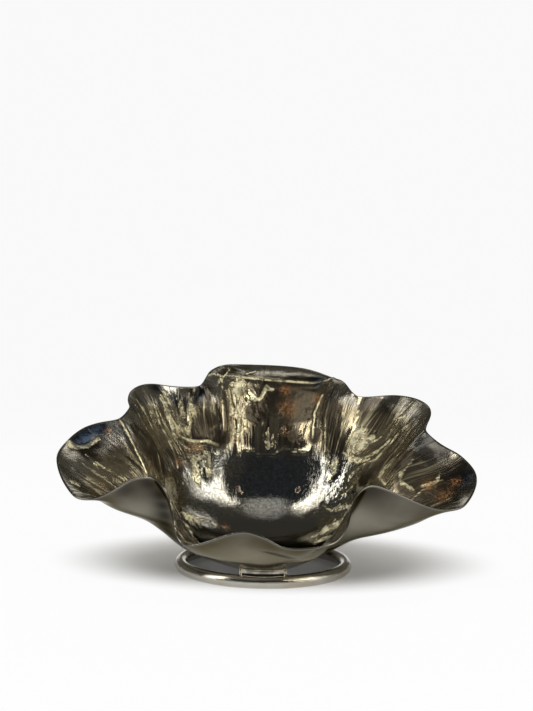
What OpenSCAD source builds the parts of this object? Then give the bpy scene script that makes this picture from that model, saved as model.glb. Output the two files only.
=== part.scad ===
// Offering bowl: one sheet of silver, raised by hand into a round well with six ruffled lobes and
// six pleats between them, soldered in a leaning pose on a foot ring of round wire.
// The origin is on the table under the middle of the foot ring. +Z is up, and the low front lobe
// points along -Y. Directions round the bowl are degrees from +X, turning towards the back, +Y.

/* [Bowl] */
// Usual reach of the lobes from the upright line through the middle of the foot ring
bowl_reach = 100; // [85:1:120]
// Height of the back lobe, the highest, over the table
bowl_height = 92; // [78:1:108]
// Thickness of the raised sheet
sheet_t = 1; // [0.7:0.1:1.6]

/* [Foot ring] */
// Radius of the foot ring, to the middle of its wire
ring_r = 41; // [37:0.5:45]
// Diameter of the ring's round wire, a quarter of an inch
wire_d = 6.4; // [5:0.1:8]
// Depth rubbed flat under the ring, where it stands
flat_depth = 0.2; // [0.1:0.05:0.5]

/* [Solder seams] */
// Length of the front seam along the ring, which shows as a short bridge
front_seam_l = 23; // [12:1:30]
// Length of the rear seam along the ring
rear_seam_l = 27; // [12:1:34]
// Width of both seams where they meet the bowl
seam_w = 4.4; // [3:0.1:5.5]
// Gap left between a seam and the pieces that it joins
seam_gap = 0.08; // [0.05:0.01:0.15]

/* [Hidden] */

full_turn = 360;
half_turn = 180;
front_way = 270;
rear_way = 90;
// Reach and rise shares are hundredths: of bowl_reach, and of the height above the top of the ring
whole_share = 100;

ring_z = wire_d / 2 - flat_depth;
ring_top = wire_d - flat_depth;
ring_sides = 160;

// Steps round the sheet, and rings from its middle to its rim
turn_steps = 120;
sheet_rings = 21;
// Small steps, in degrees round the bowl and as a share of the way out, that find its slope
turn_step = 0.5;
way_step_share = 0.004;

// Where along the way from the middle to the rim each kind of place below lies
knot_shares = [0, 0.18, 0.35, 0.48, 0.62, 0.76, 0.89, 1];
// The edge is half round over the last of the way
edge_share = 0.996;

// The bottom hangs inside the ring, under the ring's top
bottom_rise_share = -4.2;
// Reach of the innermost places, as a share of the radius of the ring
inner_reach_share = 0.54;

// Over the ring: direction, rise. The bowl is lowest over the two seams
seat_shares = [
    [0, 9.5], [50, 5.5], [90, 4], [130, 5.5], [180, 8], [225, 7.5],
    [250, 4.5], [270, 3.5], [288, 4.5], [312, 9.5], [337, 12.5]
];
// Where the bottom turns up into the well: direction, reach, rise
turn_shares = [
    [0, 52, 19], [45, 56, 22], [90, 58, 24], [135, 56, 23], [180, 52, 18.5],
    [205, 52, 18.5], [228, 50, 16], [250, 53, 10], [270, 56, 9.5], [288, 54, 11],
    [308, 50, 17.5], [325, 51, 18], [340, 52, 18.5]
];
// The edge of the well, where the lobes and pleats begin
well_shares = [
    [6, 60, 36], [30, 63, 43], [48, 68, 48.5], [58, 64, 52], [88, 65.5, 51], [115, 62, 51.5],
    [128, 66, 47.5], [150, 62, 44], [166, 59, 37], [195, 62, 27], [210, 60, 26.5],
    [228, 57, 25.5], [250, 66, 15], [270, 67, 15.5], [288, 66, 15], [311, 57, 26.5],
    [330, 60, 21.5], [348, 64, 23]
];
// Half way up the lobes and pleats
wall_shares = [
    [8, 67, 50], [24, 74, 55.5], [46, 85, 64], [58.5, 67, 69.5], [66, 71, 77], [88, 77.5, 82],
    [104, 71, 79], [112, 62.5, 66], [122, 77, 62.5], [137, 79, 62.5], [150, 68, 60.5],
    [166, 64, 50], [180, 74, 44], [195, 78, 34.5], [210, 72, 33.5], [228, 62, 36],
    [246, 76, 19.5], [268, 76, 22], [288, 76, 19], [311, 62, 36], [332, 74, 27.5], [350, 79, 31.5]
];
// The crease where the lobes flare into a lip
lip_shares = [
    [2, 88, 51], [11, 75, 62], [24, 85, 68.5], [42, 95, 75.5], [50, 92, 76], [58, 73, 82.5],
    [66, 81, 92], [87, 82.5, 93.5], [104, 79, 93.5], [113, 68.5, 81.5], [121, 83, 75.5],
    [132, 90, 77.5], [145, 80, 73], [162, 71, 64], [176, 87, 54.5], [192, 90, 43], [206, 82, 39],
    [227, 68, 46.5], [246, 85, 24], [264, 86, 29], [284, 85, 23.5], [311, 68, 45],
    [330, 82, 33.5], [348, 92, 38]
];
// The rim, lobe by lobe: right, right back, back, left back, left, front
rim_shares = [
    [3, 98.5, 60.5], [9, 89.5, 66], [14, 84, 73], [31, 100.5, 81.5], [38, 103, 84.5],
    [47, 104, 85], [51, 99, 84.5], [54, 84, 85], [61, 86, 93], [66, 90, 94], [79, 101, 98],
    [98, 101.5, 99.5], [104, 98.5, 99.5], [109.5, 91.5, 97], [113, 83.5, 94], [116.5, 78, 90.5],
    [119, 78.5, 89.5], [123, 90, 88.5], [126.5, 101, 89], [132.5, 100, 89], [138, 97, 86.5],
    [143, 91, 83], [148, 83.5, 80], [161.5, 79.5, 75.5], [165.5, 87, 74], [170, 93.5, 71.5],
    [176, 99, 66], [185, 103, 58], [200, 97.5, 41.5], [205, 92, 41], [212.5, 86, 47],
    [218, 80, 54.5], [225, 75.5, 57], [231, 76.5, 54.5], [238, 81, 46.5], [246, 94.5, 31],
    [250, 95.5, 28.5], [264, 95.5, 37.5], [270, 95.5, 35], [276, 95, 29], [290, 92.5, 30],
    [295, 88.5, 35.5], [300, 80.5, 44], [306, 74.5, 51.5], [314, 75, 54.5], [331, 89.5, 41],
    [338, 96, 37.5], [343, 101.5, 39], [354, 105, 51.5]
];

// Seams: steps along each, points across it, how far round the wire it clings, its waist and ends
seam_steps = 14;
seam_points = 5;
seam_cling = 36;
seam_waist_share = 0.72;
seam_end_share = 0.35;

// Real sizes from the shares
function rise(share) = ring_top + (bowl_height - ring_top) * share / whole_share;
function places(table) = [for (p = table) [p[0], bowl_reach * p[1] / whole_share, rise(p[2])]];
seat_places = [for (p = seat_shares) [p[0], ring_r, rise(p[1])]];
turn_places = places(turn_shares);
well_places = places(well_shares);
wall_places = places(wall_shares);
lip_places = places(lip_shares);
rim_places = places(rim_shares);

// A smooth curve from a to b with slopes slope_a and slope_b over a stretch, at the share x of it
function curve(a, b, slope_a, slope_b, stretch, x) =
    a * (2 * pow(x, 3) - 3 * pow(x, 2) + 1) + slope_a * stretch * (pow(x, 3) - 2 * pow(x, 2) + x)
    + b * (3 * pow(x, 2) - 2 * pow(x, 3)) + slope_b * stretch * (pow(x, 3) - pow(x, 2));

// The place number i of a table that goes on round the bowl for ever
function nth_place(table, i) =
    let (laps = floor(i / len(table)))
    table[i - laps * len(table)] + [full_turn * laps, 0, 0];

// Reach and height at a direction, on a smooth curve through a table's places
function round_place(table, direction) =
    let (way = direction - full_turn * floor(direction / full_turn))
    let (i = len([for (p = table) if (p[0] <= way) p]) - 1)
    let (before = nth_place(table, i - 1), a = nth_place(table, i))
    let (b = nth_place(table, i + 1), after = nth_place(table, i + 2))
    let (stretch = b[0] - a[0])
    let (p = curve(a, b, (b - before) / (b[0] - before[0]), (after - a) / (after[0] - a[0]),
                   stretch, (way - a[0]) / stretch))
    [p[1], p[2]];

// The places from the middle to the rim in one direction
function spokes(direction) =
    let (seat = round_place(seat_places, direction))
    let (bottom_z = rise(bottom_rise_share))
    let (inner = [ring_r * inner_reach_share, bottom_z + (seat[1] - bottom_z) * pow(inner_reach_share, 2)])
    [
        [0, bottom_z], inner, seat, round_place(turn_places, direction),
        round_place(well_places, direction), round_place(wall_places, direction),
        round_place(lip_places, direction), round_place(rim_places, direction)
    ];

// Slope of the sheet's section at its place number i
function spoke_slope(spoke, i) =
    let (last = len(spoke) - 1)
    i == 0 ? [spoke[1][0] / knot_shares[1], 0]
    : i == last ? 2 * (spoke[last] - spoke[last - 1]) / (knot_shares[last] - knot_shares[last - 1])
                  - spoke_slope(spoke, last - 1)
    : (spoke[i + 1] - spoke[i - 1]) / (knot_shares[i + 1] - knot_shares[i - 1]);

// Reach and height at a share of the way along one section
function section(spoke, way) =
    let (i = min(len([for (k = knot_shares) if (k <= way) k]) - 1, len(knot_shares) - 2))
    let (stretch = knot_shares[i + 1] - knot_shares[i])
    curve(spoke[i], spoke[i + 1], spoke_slope(spoke, i), spoke_slope(spoke, i + 1),
          stretch, (way - knot_shares[i]) / stretch);

// A point of the sheet's middle surface, and its unit normal, which points into the bowl
function turned(p, direction) = [p[0] * cos(direction), p[0] * sin(direction), p[1]];
function sheet_point(direction, way) = turned(section(spokes(direction), way), direction);
function unit(v) = v / norm(v);
function sheet_normal(direction, way) =
    unit(cross(
        sheet_point(direction, way + way_step_share) - sheet_point(direction, way - way_step_share),
        sheet_point(direction + turn_step, way) - sheet_point(direction - turn_step, way)
    ));

// Rings of points a distance off the middle surface, up into the bowl or down under it
function sheet_ring(way, off) = [
    for (i = [0 : turn_steps - 1])
        let (direction = full_turn * i / turn_steps)
        sheet_point(direction, way) + off * sheet_normal(direction, way)
];
function sheet_side(off) = [
    for (j = [1 : sheet_rings]) each sheet_ring(edge_share * j / sheet_rings, off)
];

// Two triangles for each cell between one ring of points and the next, outwards or inwards
function band(first, second) = [
    for (i = [0 : turn_steps - 1])
        let (k = (i + 1) % turn_steps)
        each [[first + i, second + i, second + k], [first + i, second + k, first + k]]
];
function fan(pole, ring) = [for (i = [0 : turn_steps - 1]) [pole, ring + i, ring + (i + 1) % turn_steps]];
function flipped(faces) = [for (f = faces) [f[0], f[2], f[1]]];

module bowl_shell() {
    side_size = turn_steps * sheet_rings;
    under = 0;
    edge = side_size;
    inside = side_size + turn_steps;
    under_pole = inside + side_size;
    middle = [0, 0, rise(bottom_rise_share)];
    last_ring = side_size - turn_steps;
    rim = [for (i = [0 : turn_steps - 1]) sheet_point(full_turn * i / turn_steps, 1)];
    points = concat(
        sheet_side(-sheet_t / 2), rim, sheet_side(sheet_t / 2),
        [middle - [0, 0, sheet_t / 2], middle + [0, 0, sheet_t / 2]]
    );
    sheet_band = [for (j = [0 : sheet_rings - 2]) each band(j * turn_steps, (j + 1) * turn_steps)];
    faces = concat(
        fan(under_pole, under), sheet_band, band(last_ring, edge), band(edge, inside + last_ring),
        flipped([for (f = sheet_band) [for (i = f) i + inside]]), flipped(fan(under_pole + 1, inside))
    );
    color("silver") polyhedron(points = points, faces = faces, convexity = 10);
}

module foot_ring() {
    color("lightgray")
        rotate_extrude($fn = ring_sides)
            intersection() {
                translate([ring_r, ring_z]) circle(d = wire_d, $fn = ring_sides);
                translate([ring_r - wire_d / 2, 0]) square([wire_d, wire_d]);
            }
}

// One seam's outline at a direction: round the wire, up one side, along the bowl and down the other
function seam_outline(direction, fullness) =
    let (cling = seam_cling * fullness)
    let (spread = seam_w * fullness / 2)
    let (wire_edge = wire_d / 2 + seam_gap)
    let (low = [
        for (i = [0 : seam_points - 1])
            let (a = half_turn / 2 + cling - 2 * cling * i / (seam_points - 1))
            [ring_r + wire_edge * cos(a), ring_z + wire_edge * sin(a)]
    ])
    let (spoke = spokes(direction))
    let (way = knot_shares[2])
    let (reach_slope = spoke_slope(spoke, 2)[0])
    let (high = [
        for (i = [0 : seam_points - 1])
            let (w = way + (spread - 2 * spread * i / (seam_points - 1)) / reach_slope)
            let (n = sheet_normal(direction, w))
            let (p = section(spoke, w))
            let (off = sheet_t / 2 + seam_gap)
            [p[0] - off * (n[0] * cos(direction) + n[1] * sin(direction)), p[1] - off * n[2]]
    ])
    let (waist = seam_waist_share * min(spread, wire_edge * sin(cling)))
    let (middle_z = (low[floor(seam_points / 2)][1] + high[floor(seam_points / 2)][1]) / 2)
    [for (p = concat(low, [[ring_r + waist, middle_z]], high, [[ring_r - waist, middle_z]]))
        turned(p, direction)];

// A bridge of solder between the wire and the underside of the bowl, thinner towards its ends
module solder_seam(direction, seam_l) {
    sweep = seam_l / ring_r * half_turn / PI;
    loop = 2 * seam_points + 2;
    loops = [
        for (j = [0 : seam_steps])
            let (x = 2 * j / seam_steps - 1)
            seam_outline(direction + sweep / 2 * x, seam_end_share + (1 - seam_end_share) * sqrt(1 - x * x))
    ];
    sides = [
        for (j = [0 : seam_steps - 1], i = [0 : loop - 1])
            let (k = (i + 1) % loop, a = j * loop, b = (j + 1) * loop)
            each [[a + i, b + k, b + i], [a + i, a + k, b + k]]
    ];
    first_cap = [for (i = [loop - 1 : -1 : 0]) i];
    last_cap = [for (i = [0 : loop - 1]) seam_steps * loop + i];
    color("gainsboro")
        polyhedron(points = [for (p = loops) each p], faces = concat(sides, [first_cap, last_cap]));
}

module front_solder_seam() {
    solder_seam(front_way, front_seam_l);
}

module rear_solder_seam() {
    solder_seam(rear_way, rear_seam_l);
}

bowl_shell();
foot_ring();
front_solder_seam();
rear_solder_seam();
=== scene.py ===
import bpy
import numpy as np
from bpy.props import FloatProperty, FloatVectorProperty, PointerProperty
from mathutils import Matrix, Vector


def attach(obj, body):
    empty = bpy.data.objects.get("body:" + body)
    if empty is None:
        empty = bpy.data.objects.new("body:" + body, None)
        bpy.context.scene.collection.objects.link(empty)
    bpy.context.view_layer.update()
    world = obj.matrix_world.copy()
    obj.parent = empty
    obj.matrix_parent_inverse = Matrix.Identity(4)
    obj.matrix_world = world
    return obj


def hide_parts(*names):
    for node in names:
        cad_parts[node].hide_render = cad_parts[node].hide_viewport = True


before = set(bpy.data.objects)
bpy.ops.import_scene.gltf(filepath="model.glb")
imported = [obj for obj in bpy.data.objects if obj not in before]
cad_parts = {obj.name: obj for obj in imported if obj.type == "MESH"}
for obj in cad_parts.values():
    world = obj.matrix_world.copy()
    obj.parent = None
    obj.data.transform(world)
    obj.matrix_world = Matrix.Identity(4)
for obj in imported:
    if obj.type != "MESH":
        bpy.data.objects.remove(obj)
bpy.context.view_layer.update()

bl_info = {
    "name": "Ruffled silver offering bowl",
    "version": (1, 0, 0),
    "blender": (4, 5, 0),
    "location": "3D View > Sidebar > Silver Bowl",
    "description": "Raises a ruffled silver bowl on a wire foot ring, and lights it on a pale table",
    "category": "Add Mesh",
}

BODY = "root"
MM = 0.001
# How deep the fine relief of the wire and of the solder is, in metres
FINE_RELIEF = 0.0003

# Places of the sheet over the ring: direction in degrees from +X, height in millimetres
SEAT_PLACES = (
    (0, 14.35), (50, 10.92), (90, 9.63), (130, 10.92), (180, 13.06), (225, 12.64), (250, 10.06), (270, 9.2),
    (288, 10.06), (312, 14.35), (337, 16.93),
)
# The others: direction, reach in hundredths of the bowl's reach, height in hundredths of its height over
# the ring
TURN_PLACES = (
    (0, 52, 19), (45, 56, 22), (90, 58, 24), (135, 56, 23), (180, 52, 18.5), (205, 52, 18.5), (228, 50, 16),
    (250, 53, 10), (270, 56, 9.5), (288, 54, 11), (308, 50, 17.5), (325, 51, 18), (340, 52, 18.5),
)
WELL_PLACES = (
    (6, 60, 36), (30, 63, 43), (48, 68, 48.5), (58, 64, 52), (88, 65.5, 51), (115, 62, 51.5),
    (128, 66, 47.5), (150, 62, 44), (166, 59, 37), (195, 62, 27), (210, 60, 26.5), (228, 57, 25.5),
    (250, 66, 15), (270, 67, 15.5), (288, 66, 15), (311, 57, 26.5), (330, 60, 21.5), (348, 64, 23),
)
WALL_PLACES = (
    (8, 67, 50), (24, 74, 55.5), (46, 85, 64), (58.5, 67, 69.5), (66, 71, 77), (88, 77.5, 82),
    (104, 71, 79), (112, 62.5, 66), (122, 77, 62.5), (137, 79, 62.5), (150, 68, 60.5), (166, 64, 50),
    (180, 74, 44), (195, 78, 34.5), (210, 72, 33.5), (228, 62, 36), (246, 76, 19.5), (268, 76, 22),
    (288, 76, 19), (311, 62, 36), (332, 74, 27.5), (350, 79, 31.5),
)
LIP_PLACES = (
    (2, 88, 51), (11, 75, 62), (24, 85, 68.5), (42, 95, 75.5), (50, 92, 76), (58, 73, 82.5), (66, 81, 92),
    (87, 82.5, 93.5), (104, 79, 93.5), (113, 68.5, 81.5), (121, 83, 75.5), (132, 90, 77.5), (145, 80, 73),
    (162, 71, 64), (176, 87, 54.5), (192, 90, 43), (206, 82, 39), (227, 68, 46.5), (246, 85, 24),
    (264, 86, 29), (284, 85, 23.5), (311, 68, 45), (330, 82, 33.5), (348, 92, 38),
)
RIM_PLACES = (
    (3, 98.5, 60.5), (9, 89.5, 66), (14, 84, 73), (31, 100.5, 81.5), (38, 103, 84.5), (47, 104, 85),
    (51, 99, 84.5), (54, 84, 85), (61, 86, 93), (66, 90, 94), (79, 101, 98), (98, 101.5, 99.5),
    (104, 98.5, 99.5), (109.5, 91.5, 97), (113, 83.5, 94), (116.5, 78, 90.5), (119, 78.5, 89.5),
    (123, 90, 88.5), (126.5, 101, 89), (132.5, 100, 89), (138, 97, 86.5), (143, 91, 83), (148, 83.5, 80),
    (161.5, 79.5, 75.5), (165.5, 87, 74), (170, 93.5, 71.5), (176, 99, 66), (185, 103, 58),
    (200, 97.5, 41.5), (205, 92, 41), (212.5, 86, 47), (218, 80, 54.5), (225, 75.5, 57), (231, 76.5, 54.5),
    (238, 81, 46.5), (246, 94.5, 31), (250, 95.5, 28.5), (264, 95.5, 37.5), (270, 95.5, 35), (276, 95, 29),
    (290, 92.5, 30), (295, 88.5, 35.5), (300, 80.5, 44), (306, 74.5, 51.5), (314, 75, 54.5),
    (331, 89.5, 41), (338, 96, 37.5), (343, 101.5, 39), (354, 105, 51.5),
)
# Where each kind of place lies along the way from the middle to the rim
KNOTS = np.array([0, 0.18, 0.35, 0.48, 0.62, 0.76, 0.89, 1])
# The middle of the bottom in the same hundredths, a place inside the ring as a share of its radius, and the
# way at which the rounded edge begins
BOTTOM_RISE, INNER_REACH, EDGE_WAY = -4.2, 0.54, 0.996
# Creases of the inside: height and half width in millimetres, then places as direction and hundredths of
# the way out
CREASES = (
    (0.8, 1, (161, 100), (163, 91), (165, 81.5), (166, 74), (168, 66)),
    (0.15, 1.6, (147, 45.8), (136, 42.2), (125, 39.3)),
    (0.15, 1.4, (150, 42), (148, 38.5), (151, 34.5), (156, 30.9)),
    (0.4, 1.2, (150, 46), (152, 38), (158, 33)),
    (0.2, 2.2, (36, 43), (41, 40), (46, 36.2), (50, 34.5)),
    (0.2, 1.7, (42, 35.5), (48, 32.5)),
    (0.3, 0.9, (30, 38), (36, 35), (44, 31.5)),
    (0.45, 1.2, (40, 49), (43, 46.5), (49, 45.5), (56, 47)),
    (0.42, 1, (131, 93), (133, 82), (133, 75), (134, 67), (136, 60)),
    (0.42, 1, (126, 95), (127, 84), (126, 78.5), (129, 70.5), (126, 65)),
    (0.3, 0.9, (138, 90), (139, 80), (141, 70), (142, 60)),
    (0.3, 0.9, (145, 92), (147, 80), (149, 68), (151, 58)),
    (0.25, 0.9, (154, 90), (155, 78), (157, 66), (158, 56)),
    (0.5, 1.3, (119, 99), (120, 87.5), (121, 80), (123, 71)),
    (0.4, 1.6, (127, 73), (123, 69), (118, 68), (114, 65)),
    (0.35, 1, (176, 92), (178, 82.3), (178, 74)),
    (0.35, 1, (180, 91), (182, 82.4), (184, 75)),
    (0.3, 0.9, (185, 93), (187, 83), (189, 75)),
    (0.3, 0.8, (199, 93), (199, 82), (199, 72)),
    (0.3, 0.8, (195, 90), (195, 80), (194, 70)),
    (0.25, 0.8, (203, 88), (203, 78), (202, 70)),
    (-0.5, 2.2, (177, 98.5), (174, 95), (170, 94)),
    (0.5, 0.9, (112, 99.5), (108, 96.8), (108, 91.2), (109, 89)),
    (0.45, 0.9, (105, 99), (103, 95), (106, 92), (111, 93)),
    (0.5, 0.8, (98, 89.8), (94, 92.4)),
    (0.45, 1, (97, 83), (97, 78.5), (93, 75), (91, 79), (90, 82.6), (88, 79.5)),
    (0.7, 1.2, (111, 100), (106, 92), (100, 88), (91, 86.8), (81, 86.2), (71, 86.5), (66, 91), (65, 100)),
    (-0.5, 1.6, (104, 84), (96, 83.8), (86, 83), (76, 83.2), (70, 84)),
    (0.45, 1.3, (106, 85), (105, 74), (102, 70), (104, 63.5)),
    (0.4, 1.4, (99, 77), (95, 75), (92, 75.5), (90, 80), (87, 80)),
    (0.65, 1.1, (104, 61.5), (101, 62.1), (94, 61.1), (85, 61), (81, 62.4), (74, 61.3), (68, 62)),
    (0.4, 1.2, (66, 82), (68, 74), (67, 66)),
    (0.3, 1, (63, 85), (61, 74), (60, 62)),
    (0.35, 1.2, (60, 59), (52, 57.6), (56, 54.5), (40, 55.1), (46, 51.2)),
    (0.4, 1.1, (54, 98), (53, 82), (52, 70)),
    (0.3, 0.9, (57, 97), (56, 83), (55, 70)),
    (0.5, 1.8, (52, 68), (50, 63.6), (45, 63), (40, 66), (38, 72)),
    (0.25, 1.6, (39, 100), (40, 90), (42, 82), (43, 76.4)),
    (0.45, 1.3, (34, 86), (36, 77.4), (34, 67.5), (40, 62), (46, 56.3)),
    (0.3, 0.9, (29, 93), (29, 84), (27, 74), (24, 65)),
    (0.3, 0.9, (22, 90), (22, 80), (20, 70)),
    (0.4, 1.4, (22, 69), (21, 64.5), (15, 65), (9, 66.5)),
    (0.28, 1.1, (8, 86), (6, 79), (4, 75), (359, 77.2)),
    (0.3, 1, (359, 88), (358, 80), (356, 74)),
    (0.3, 1, (350, 90), (350, 82), (349, 75)),
    (0.6, 1.6, (226, 100), (228, 86), (231, 74), (234, 62), (238, 50)),
    (0.4, 1.2, (300, 94), (305, 80), (309, 66), (314, 54)),
)
# A crease this high, in millimetres, gets the full painted highlight on its crest, partly real wear from
# rubbing, over this share of its width
CREST_HEIGHT, CREST_SHARE = 0.4, 0.7
# Crumpled patches: direction, hundredths of the way, radius in millimetres, how much deeper the dents are
CRUMPLES = (
    (104, 94, 8, 5), (101, 74, 11, 1.8), (96, 78, 8, 1.6), (67, 72, 8, 2), (118, 66, 8, 1.6),
    (88, 74, 16, 0.9), (46, 67, 9, 1.6), (130, 60, 8, 1.4), (48, 53, 10, 1.6), (178, 80, 10, 0.8),
    (355, 84, 9, 1),
)
# How strongly the strokes of the hammer ridged the walls: direction, share
RIDGED = (
    (0, 0.25), (10, 0.6), (22, 0.6), (34, 0.4), (44, 0.35), (52, 0.6), (60, 0.9), (68, 0.12), (78, 0.05),
    (98, 0.08), (106, 0.25), (113, 0.9), (125, 1), (150, 1), (165, 0.6), (173, 0.15), (182, 0.12),
    (192, 0.3), (200, 0.8), (208, 0.5), (222, 0.8), (235, 0.9), (250, 0.4), (270, 0.2), (295, 0.5),
    (310, 0.9), (325, 0.7), (345, 0.35),
)
# Dark patches inside, partly real tarnishing and partly painted shade: direction, hundredths of the way,
# radius in millimetres, share
TARNISH_AND_SHADE_PATCHES = (
    (357, 88, 22, 0.9), (2, 80, 12, 1), (170, 87, 11, 0.55), (155, 86, 8, 0.9), (74, 81, 12, 1),
    (78, 73, 9, 1), (87, 76, 11, 1), (92, 71, 6, 0.9), (70, 78, 9, 1), (67, 66, 5, 0.8), (157, 80, 9, 0.7),
    (117, 96, 8, 0.8), (4, 78, 8, 0.8), (78, 80, 12, 1), (95, 71, 6, 0.9), (150, 66, 10, 0.8),
    (115, 72, 8, 0.8), (72, 74, 8, 0.9), (66, 68, 5, 0.8), (77, 66, 5, 0.7), (95, 80, 5, 0.6),
    (116, 80, 9, 0.8), (60, 80, 10, 0.95), (101, 80, 5, 0.6), (56, 68, 8, 0.8), (173, 94, 11, 0.8),
    (50, 87, 13, 0.9), (122, 90, 9, 0.5), (150, 78, 15, 0.6), (142, 62, 9, 0.5), (30, 66, 12, 0.6),
    (9, 86, 5, 1), (8, 80, 5, 1), (8, 92, 5, 0.9), (57, 73, 5, 1), (55, 65, 5, 1), (33, 59, 5, 0.9),
    (26, 72, 5, 0.8), (136, 65, 6, 0.8), (135, 60, 5, 0.8), (155, 75, 6, 0.8), (152, 82, 6, 0.7),
    (116, 93, 6, 1), (117, 84, 6, 1), (119, 75, 6, 0.9), (312, 95, 13, 0.5), (128, 60, 7, 0.6),
    (168, 99, 12, 0.5), (104, 95, 9, 0.7), (272, 95, 8, 0.2), (12, 75, 9, 0.5),
)
# Patches of painted shade under the bowl, the same way
UNDER_SHADE_PATCHES = (
    (224, 88, 6, 1), (223, 80, 6, 1), (221, 72, 7, 1), (218, 64, 7, 1), (213, 55, 6, 1), (210, 48, 5, 1),
    (223, 96, 5, 0.8), (215, 97, 5, 0.6), (312, 97, 8, 0.7), (270, 94, 9, 0.25),
)
# Patches of painted highlight, the same way
PAINTED_HIGHLIGHT_PATCHES = (
    (122, 58.5, 8, 0.8), (127, 55, 6, 0.7), (54, 58.5, 6, 0.8), (44, 39, 7, 0.5), (139, 41, 6, 0.4),
    (132, 83, 12, 0.6), (121, 86, 9, 0.6), (124, 77, 8, 0.6), (40, 86, 8, 0.55), (88, 64.5, 6, 0.6),
    (22, 72, 6, 0.5), (231, 70, 4, 0.8), (192, 93, 5, 0.7), (103, 81, 5, 0.9), (104, 73, 4, 0.9),
    (100, 84, 4, 0.9), (105, 67, 3, 0.8), (69, 69, 3, 0.6), (48, 70, 6, 0.8), (52, 64, 4, 0.7),
    (51, 70, 5, 0.8), (233, 99, 4, 1), (238, 99, 5, 1), (242, 99, 4, 1), (140, 93, 8, 0.5),
    (126, 93, 8, 0.5),
)
# Painted highlights drawn as strokes: share, half width in millimetres, then places as in the creases
PAINTED_HIGHLIGHT_STROKES = (
    (1, 1.5, (148, 45.7), (144, 44.7), (140, 43.4), (134, 41.6), (128, 40.5), (124, 39.1)),
    (1, 1, (146, 43.7), (142, 42.4), (138, 41.6), (133, 40.8)),
    (1, 1.4, (149, 42.7), (148, 41), (148, 39.3), (152, 35.2), (158, 30.3)),
    (1, 1.4, (239, 86.3), (240, 80.5)),
    (1, 1.6, (50, 33.9), (47, 36)),
    (1, 3.8, (44, 38), (41, 40.5), (38, 42)),
    (1, 2.2, (41, 29.8), (37, 32.7), (34, 34.4), (31, 35.8)),
    (1, 1.5, (48, 46.1), (46, 47.5), (42, 48.1), (37, 48.7)),
    (0.7, 0.9, (177, 87), (181, 81), (184, 75)),
    (0.7, 0.9, (176, 87), (178, 80), (178, 74)),
    (1, 1.2, (6, 77.6), (3, 74.7), (0, 76.6)),
    (0.8, 1.2, (359, 81), (359, 85.8), (2, 89)),
    (1, 1.2, (45, 56.4), (40, 61.8), (35, 67.4), (36, 74.4)),
    (1, 1.2, (53, 63.6), (48, 62.2), (42, 64), (38, 69), (38, 76)),
    (0.9, 1.4, (38, 97.9), (38, 90), (40, 87)),
    (0.9, 1.2, (22, 66.5), (22, 64.3), (15, 65)),
    (0.9, 1.2, (132, 90), (132, 78), (133, 68)),
    (1, 1.2, (128, 93), (128, 83.6), (129, 71.1), (126, 65.2)),
    (1, 1.2, (120, 97), (120, 85), (122, 74)),
    (1, 1.2, (106, 85), (106, 73.5)),
    (0.7, 2.6, (103, 74), (99, 69), (103, 65)),
    (1, 3.2, (50, 75), (51, 69), (48, 66), (46, 72)),
    (1, 1.2, (53, 63.5), (48, 61.8), (44, 62.4), (39, 65)),
    (1, 1, (45, 70), (42, 76)),
    (1, 1.5, (177, 98.5), (176, 96.5), (175, 95), (173, 94.2), (170, 94.6)),
    (1, 1.4, (178, 99.4), (176, 98.8)),
    (0.9, 0.9, (176, 98.5), (175, 96.2), (172, 94.2)),
)
# Brown and orange stains from the fire, in patches as above
STAINS = (
    (122, 65, 2.6, 1), (125, 66, 1.8, 1), (82, 80, 2.4, 1), (81, 73, 4.2, 0.6), (81, 67, 2.4, 0.6),
    (117, 37.8, 2.2, 1), (104, 50, 1.3, 1), (102, 48.9, 0.9, 1), (72, 50.4, 1.2, 1), (359, 83.3, 3, 1),
    (353, 87, 4.5, 0.7), (356, 92, 3, 1), (166, 96, 1.4, 1), (186, 80, 2, 0.7), (134, 62, 2, 1),
    (68, 79, 2, 1), (104, 65, 1.5, 1),
)
# Lips with a painted dark blue reflection, the same way
DARK_REFLECTION_PATCHES = (
    (172, 98.5, 8, 1), (167, 99, 7, 0.9), (70, 90, 7, 0.7), (62, 86, 7, 0.5), (12, 95, 10, 0.5),
    (47, 97, 8, 0.4), (127, 98, 7, 0.6), (118, 95, 7, 0.5), (355, 96, 12, 0.6),
)
# The bowl's grid: directions, rings inside, under and over the rim, and the share of the rings, inside and
# under, that lies wider apart up to this way, in the calm bottom
DIRECTIONS = 648
INSIDE_RINGS, UNDER_RINGS, RIM_RINGS = 104, 40, 6
BOTTOM_INSIDE, BOTTOM_UNDER = (0.2, 0.35), (0.3, 0.45)
# Steps of the sheet's middle on the way out, of which one lies in the bottom
FINE_STEPS, BOTTOM_STEP = 401, 100
# Ways over which the parts of the sheet and its marks begin or fade
WALLS_BEGIN, LIPS_BEGIN, EDGE_BEGINS, TRIM_BEGINS = (0.58, 0.66), (0.84, 0.92), (0.989, 0.996), (0.7, 1)
STROKES_FADE, HAMMER_ENDS = (0.86, 0.98), (0.97, 0.995)
WAVES_BEGIN, WAVES_END = (0.4, 0.52), (0.95, 0.99)
# Round dents: size in metres, depth as a share, seed. Furrows: how many round the bowl and out, depth, seed
DENTS = ((0.0065, 0.75, 1), (0.0032, 0.35, 2))
FURROWS = (((19, 19, 1.8), 1.2, 4), ((33, 33, 2.2), 0.9, 6))
# The same for the long swells between the furrows, and for the patches where the strokes are deeper
SWELLS, SWELL_DEPTH = (13, 13, 3), 0.7
DEEPER_PATCHES, PATCH_RANGE = (2.6, 2.6, 5), (-0.35, 0.35)
# Size in metres of the soft waves under the bowl
UNDER_WAVE = 0.011
# Whole numbers that stir up the corners of the noise, its shifts, and the bits that are kept
STIR, STIR_SEED, STIR_AGAIN = (374761393, 668265263, 2147483629), 97531, 1274126177
SHIFTS, LOW_BITS = (13, 16), 65535
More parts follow.
